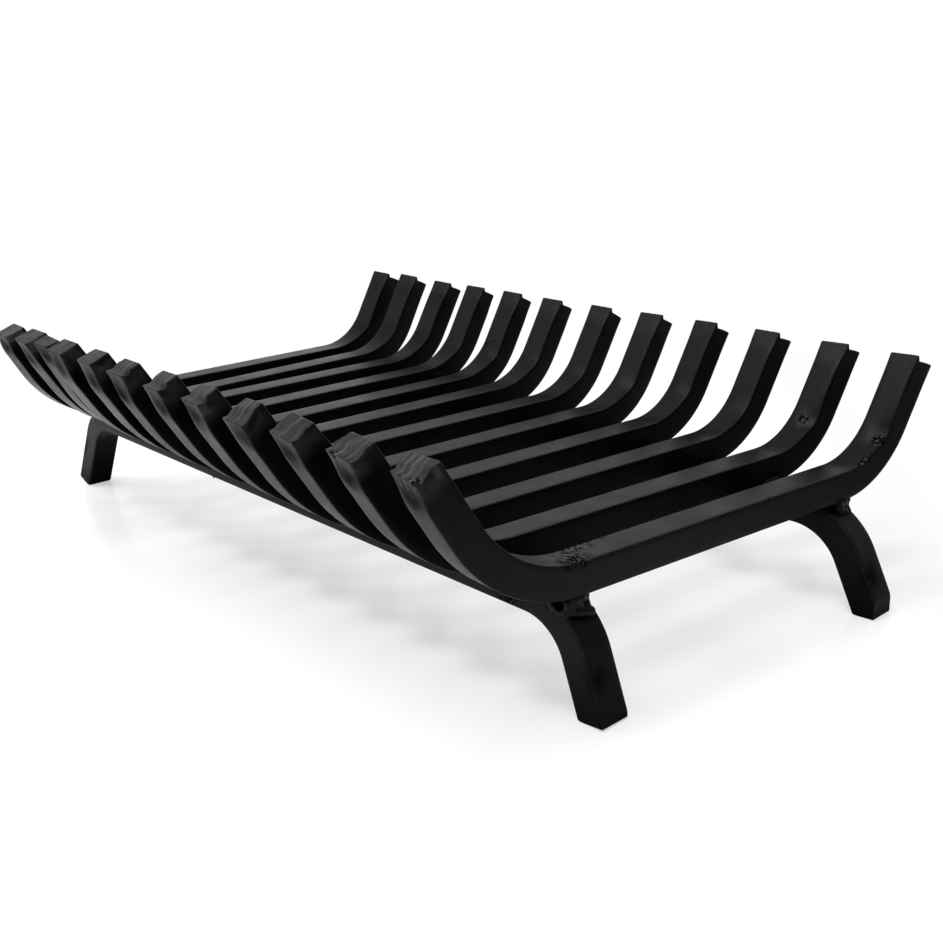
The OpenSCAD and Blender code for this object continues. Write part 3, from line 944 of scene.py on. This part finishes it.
# Weld metal under the last bar, in the grate's millimetres: a wedge's outline in x and z,
# its front and back, the blobs on it with their radius, and the crater where it cooled
cornerWelds = {
    "front_right_weld": {
        "outline": [(273.6, 68.6), (283.5, 68.6), (286.0, 63.0), (287.6, 57.5), (286.8, 55.6),
                    (282.8, 58.8), (276.7, 62.7), (273.6, 64.2)],
        "depth": (-108.2, -89.6),
        "blobs": [(262.0, -107.6, 63.6, 1.7), (265.0, -107.9, 63.0, 2.1), (268.5, -107.8, 63.2, 2.6),
                  (272.5, -107.8, 64.6, 3.2), (276.8, -107.4, 61.8, 3.4), (281.5, -107.4, 59.8, 3.4),
                  (285.6, -106.6, 59.0, 3.2), (286.6, -106.4, 64.4, 4.2), (289.2, -105.0, 66.6, 3.4),
                  (289.6, -101.0, 67.0, 3.2), (288.4, -96.5, 66.4, 3.0), (286.8, -104.6, 59.4, 3.4),
                  (287.6, -102.4, 59.0, 3.5), (288.2, -100.2, 58.6, 3.5), (288.7, -98.0, 58.2, 3.5),
                  (289.2, -95.8, 57.6, 3.4), (289.8, -93.6, 56.8, 3.2), (287.8, -101.0, 62.6, 3.2),
                  (288.2, -96.0, 61.6, 3.2), (267.4, -107.3, 58.8, 1.5), (271.6, -107.3, 57.6, 1.8),
                  (276.6, -107.3, 57.6, 1.8), (280.6, -107.2, 57.0, 1.6)],
        "crater": (282.2, -109.5, 64.4, 4.6)},
    "rear_right_weld": {
        "outline": [(303.4, 68.2), (311.6, 68.4), (311.0, 64.5), (311.8, 59.2), (308.2, 60.9),
                    (305.0, 62.6), (303.2, 63.6)],
        "depth": (114.4, 126.6),
        "blobs": [(310.2, 116.0, 67.0, 2.2), (310.2, 121.0, 67.4, 2.2), (310.2, 125.0, 67.0, 1.9),
                  (311.6, 116.6, 61.6, 1.9), (310.0, 114.8, 63.4, 1.6), (311.6, 121.0, 59.8, 2.2),
                  (311.4, 125.0, 60.2, 1.9), (308.0, 114.6, 62.8, 1.5)],
        "crater": (311.8, 115.6, 64.4, 1.3)},
}
melted = {"blobDetail": 3, "grain": 0.0004, "calm": 55, "craterDepth": 0.8, "sharp": 70.0,
          "lump": 0.00015, "lumpScale": 260.0, "lumpNoise": (1.0, 2.0, 2)}


def makeCornerWeld(name):
    weld = cornerWelds[name]
    shape = bmesh.new()
    near, far = [[shape.verts.new(Vector((x, y, z)) * mm) for x, z in weld["outline"]]
                 for y in weld["depth"]]
    shape.faces.new(near)
    shape.faces.new(list(reversed(far)))
    for k in range(len(near)):
        n = (k + 1) % len(near)
        shape.faces.new((near[n], near[k], far[k], far[n]))
    bmesh.ops.recalc_face_normals(shape, faces=shape.faces)
    for *place, radius in weld["blobs"]:
        bmesh.ops.create_icosphere(shape, subdivisions=melted["blobDetail"], radius=radius * mm,
                                   matrix=Matrix.Translation(Vector(place) * mm))
    mesh = bpy.data.meshes.new(name + "_blobs")
    shape.to_mesh(mesh)
    shape.free()
    holder = addObject(name + "_blobs", mesh)
    melt = holder.modifiers.new("melt", "REMESH")
    melt.mode = "VOXEL"
    melt.voxel_size = melted["grain"]
    calm = holder.modifiers.new("calm", "SMOOTH")
    calm.iterations = melted["calm"]
    obj = bake(holder, name + "_metal")
    # the crater is pushed in towards the middle of the weld's box in the frame
    *place, radius = weld["crater"]
    centre, radius = Vector(place) * mm, radius * mm
    box = [Vector(corner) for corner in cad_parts[name].bound_box]
    inward = (box[0] + box[6]) / 2 - centre
    inward.normalize()
    for vertex in obj.data.vertices:
        away = (vertex.co - centre).length / radius
        if away < 1.0:
            vertex.co += inward * radius * melted["craterDepth"] * (1 - away * away)
        lump = noise.fractal(vertex.co * melted["lumpScale"], *melted["lumpNoise"])
        vertex.co += vertex.normal * lump * melted["lump"]
    obj.data.materials.clear()
    obj.data.materials.append(weldPaint)
    markSharp(obj.data, melted["sharp"])
    return obj


for name in cornerWelds:
    finishPiece(makeCornerWeld(name), name)
print("corner welds made")


# White sheet under the grate, with painted shade greying it behind the right end. To the camera it
# is lit up to white, wholly so away from the grate
sheet = {"half": 6.0, "squares": 8,
         "tone": {"scale": 3.0, "detail": 2.0}, "toneRange": (0.3, 0.7), "tones": (0.9, 0.92),
         # painted shade: behind the right end the sheet greys to this
         "beside": (0.75, 0.66, 0.0), "paintedShadeRange": (0.34, 0.55), "grey": 0.12,
         "rough": 0.22, "ior": 1.42,
         "farRange": (0.4, 0.85, 0.5, 1.0), "besideRange": (0.34, 0.44, 0.5, 1.0)}


def makeFloor():
    mesh = bpy.data.meshes.new("studio_floor")
    work = bmesh.new()
    bmesh.ops.create_grid(work, x_segments=sheet["squares"], y_segments=sheet["squares"],
                          size=sheet["half"])
    work.to_mesh(mesh)
    work.free()
    floor = addObject("studio_floor", mesh)
    mat, tree, shader = newMaterial("studio_white")
    coords = addNode(tree, "ShaderNodeTexCoord").outputs["Object"]
    tone = rampOf(tree, noiseOf(tree, coords, **sheet["tone"]), sheet["toneRange"],
                  [grey(v, 1.0) for v in sheet["tones"]])
    beside = measure(tree, "DOT_PRODUCT", coords, sheet["beside"])
    # painted shade behind the right end
    feed(tree, shader.inputs["Base Color"], mixColour(
        tree, mapRange(tree, beside, *sheet["paintedShadeRange"]), tone, grey(sheet["grey"], 1.0)))
    shader.inputs["Roughness"].default_value = sheet["rough"]
    shader.inputs["IOR"].default_value = sheet["ior"]
    away = measure(tree, "LENGTH", coords)
    lift = calc(tree, "MAXIMUM", mapRange(tree, away, *sheet["farRange"], "SMOOTHSTEP"),
                mapRange(tree, beside, *sheet["besideRange"], "SMOOTHSTEP"))
    path = addNode(tree, "ShaderNodeLightPath").outputs
    lit = output(tree, "ShaderNodeMixShader", {
        0: calc(tree, "MULTIPLY", path["Is Camera Ray"], lift), 1: shader.outputs[0],
        2: output(tree, "ShaderNodeEmission", {"Color": grey(1.0, 1.0)})})
    feed(tree, tree.nodes["Material Output"].inputs["Surface"], lit)
    layOut(tree)
    mesh.materials.append(mat)


# Where each lamp hangs, what it lights, its width and length in metres, and its power
lamps = {
    "overhead_left": {"place": (-0.3, -0.5, 1.45), "aim": (-0.1, -0.03, 0.0),
                      "size": (0.4, 1.2), "power": 14.5},
    "overhead_right": {"place": (0.35, -0.4, 1.45), "aim": (0.1, -0.03, 0.0),
                       "size": (0.4, 1.2), "power": 14.5},
    "front_softbox": {"place": (-0.95, -1.15, 0.8), "aim": (0.0, 0.0, 0.1),
                      "size": (1.0, 0.8), "power": 6.0},
}


def addLamp(name, place, aim, size, power):
    data = bpy.data.lights.new(name, "AREA")
    data.shape = "RECTANGLE"
    data.size, data.size_y = size
    data.energy = power
    lamp = addObject(name, data)
    lamp.location = place
    lamp.rotation_euler = (Vector(aim) - Vector(place)).to_track_quat("-Z", "Y").to_euler()


# White studio. What the paint mirrors is bright beyond the left end and dim at the right
sky = {"bright": (-0.95, 0.30, 0.0), "range": (-0.7, 0.7, 0.28, 1.22), "plain": 0.4}


def makeWorld():
    world = bpy.data.worlds.new("studio")
    scene.world = world
    world.use_nodes = True
    tree = world.node_tree
    tree.nodes.clear()
    around = addNode(tree, "ShaderNodeTexCoord").outputs["Generated"]
    side = measure(tree, "DOT_PRODUCT", around, sky["bright"])
    path = addNode(tree, "ShaderNodeLightPath").outputs
    shine = mixNumber(tree, path["Is Glossy Ray"], sky["plain"],
                      mapRange(tree, side, *sky["range"]))
    back = output(tree, "ShaderNodeBackground", {
        "Color": grey(1.0, 1.0), "Strength": mixNumber(tree, path["Is Camera Ray"], shine, 1.0)})
    addNode(tree, "ShaderNodeOutputWorld", {"Surface": back})
    layOut(tree)


makeFloor()
for name, lamp in lamps.items():
    addLamp(name, **lamp)
makeWorld()
print("studio lit")


# The photograph's viewing angle: place in metres, angles in radians, focal length and
# picture width in pixels
camera = {"place": (0.649783, -0.499227, 0.305024), "yaw": 2.4063, "pitch": -0.3063,
          "roll": -0.0300, "focal": 1134.74, "picture": 943, "sensor": 36.0,
          "near": 0.01, "far": 50.0}


def makeCamera():
    data = bpy.data.cameras.new("photo_camera")
    data.sensor_width = camera["sensor"]
    data.lens = camera["focal"] / camera["picture"] * camera["sensor"]
    data.clip_start, data.clip_end = camera["near"], camera["far"]
    yaw, pitch, roll = camera["yaw"], camera["pitch"], camera["roll"]
    ahead = Vector((math.cos(yaw) * math.cos(pitch), math.sin(yaw) * math.cos(pitch),
                    math.sin(pitch)))
    right = Vector((math.sin(yaw), -math.cos(yaw), 0.0))
    up = right.cross(ahead)
    tiltRight = math.cos(roll) * right + math.sin(roll) * up
    tiltUp = -math.sin(roll) * right + math.cos(roll) * up
    turn = Matrix((tiltRight, tiltUp, -ahead)).transposed().to_4x4()
    obj = addObject("photo_camera", data)
    obj.matrix_world = Matrix.Translation(camera["place"]) @ turn
    scene.camera = obj


makeCamera()
scene.view_settings.view_transform = "Standard"
print("camera set")
